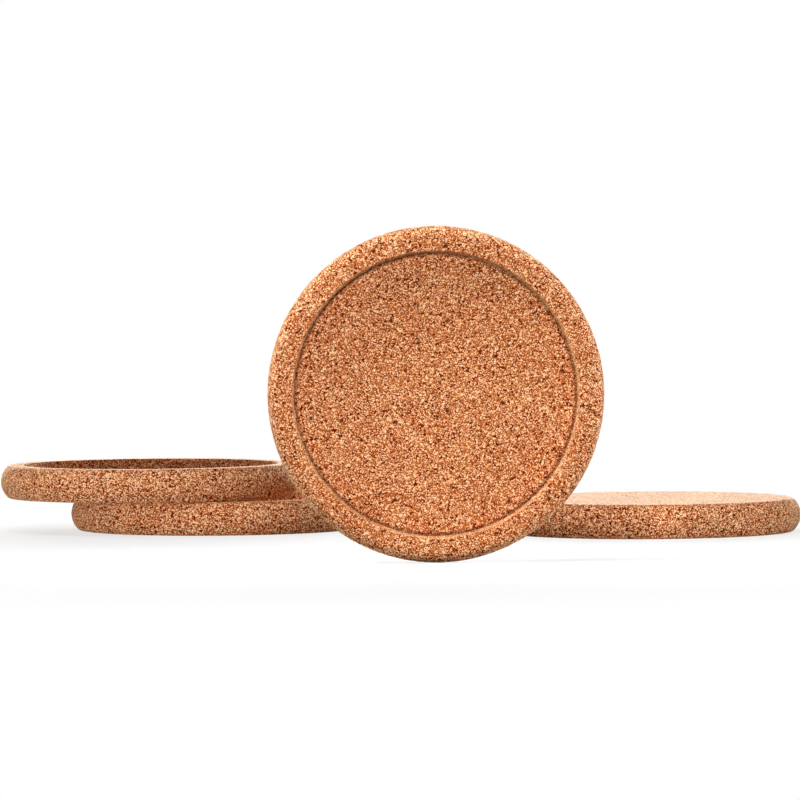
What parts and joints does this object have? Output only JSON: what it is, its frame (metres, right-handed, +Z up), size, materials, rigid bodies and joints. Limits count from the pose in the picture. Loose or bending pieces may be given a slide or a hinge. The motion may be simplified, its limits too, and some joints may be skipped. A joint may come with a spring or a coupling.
{
  "type": "cork coaster set",
  "caption": "Round agglomerated-cork coasters with crowned sides and a shallow cup recess, laid out as one stacked on another, one face down and one standing on edge.",
  "frame": {"origin": "on the table, in the middle of the group's footprint", "axes": "+X to the viewer's right along the group's longest side, +Y away from the viewer, +Z up"},
  "size_m": [0.2646, 0.26, 0.1],
  "materials": {
    "cork": "matte, fine-grained agglomerated cork, cut and sanded, unsealed"
  },
  "bodies": {
    "lower": {"lower_coaster": "cork"},
    "upper": {"upper_coaster": "cork"},
    "face_down": {"face_down_coaster": "cork"},
    "standing": {"standing_coaster": "cork"}
  },
  "joints": [
    {"name": "upper_lift", "type": "slide", "parent": "lower", "child": "upper", "axis": [0, 0, 1], "range_m": [0, 0.11]},
    {"name": "face_down_lift", "type": "slide", "parent": "lower", "child": "face_down", "axis": [0, 0, 1], "range_m": [0, 0.11]},
    {"name": "standing_lift", "type": "slide", "parent": "lower", "child": "standing", "axis": [0, 0, 1], "range_m": [0, 0.11]}
  ]
}
